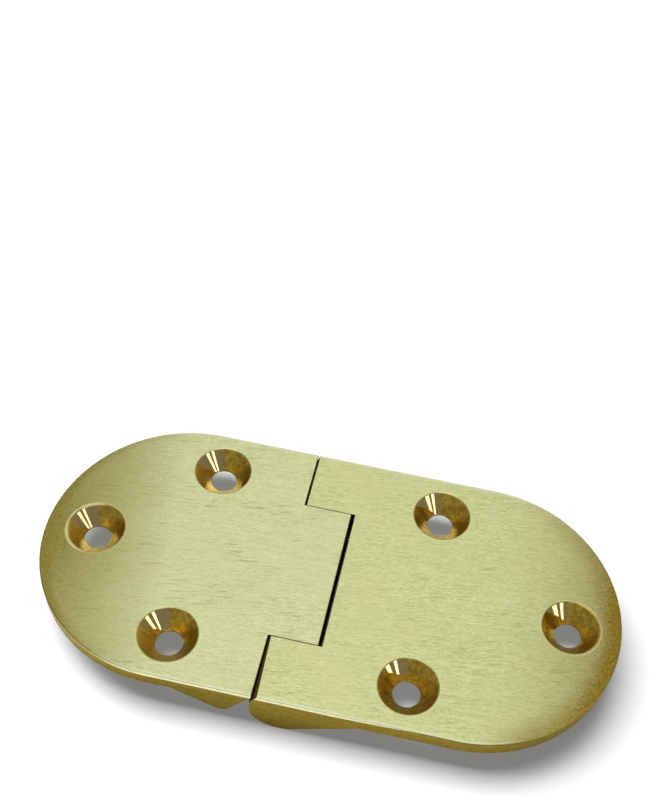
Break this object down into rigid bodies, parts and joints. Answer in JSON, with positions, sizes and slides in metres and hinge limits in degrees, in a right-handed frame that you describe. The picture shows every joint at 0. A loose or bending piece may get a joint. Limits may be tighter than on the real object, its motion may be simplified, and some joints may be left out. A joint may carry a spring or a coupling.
{
  "type": "butler tray hinge",
  "caption": "Flush flap hinge with round-ended brass leaves, a tongue between two ears on a buried pin and countersunk screw holes; lies flat or folds square.",
  "frame": {"origin": "centre of the box round the hinge lying open", "axes": "+X along the open hinge towards the round end of the ear leaf, +Y along the hinge pin, +Z out of the countersunk show faces"},
  "size_m": [0.064, 0.0316, 0.0062],
  "materials": {
    "ear_leaf_brass": "satin, brushed along the length",
    "tongue_leaf_brass": "satin, brushed along the length",
    "pin_brass": "filed flush",
    "spring_steel": "rolled strip",
    "rivet_steel": "bright"
  },
  "bodies": {
    "ear_side": {"ear_leaf": "ear_leaf_brass", "hinge_pin": "pin_brass", "detent_spring": "spring_steel", "spring_rivet_front": "rivet_steel", "spring_rivet_back": "rivet_steel"},
    "tongue_side": {"tongue_leaf": "tongue_leaf_brass"}
  },
  "joints": [
    {"name": "leaf_fold", "type": "hinge", "parent": "ear_side", "child": "tongue_side", "pos_m": [-0.00165, 0, 0.0006], "axis": [0, 1, 0], "range_deg": [0, 90], "deforming": ["detent_spring"]}
  ]
}
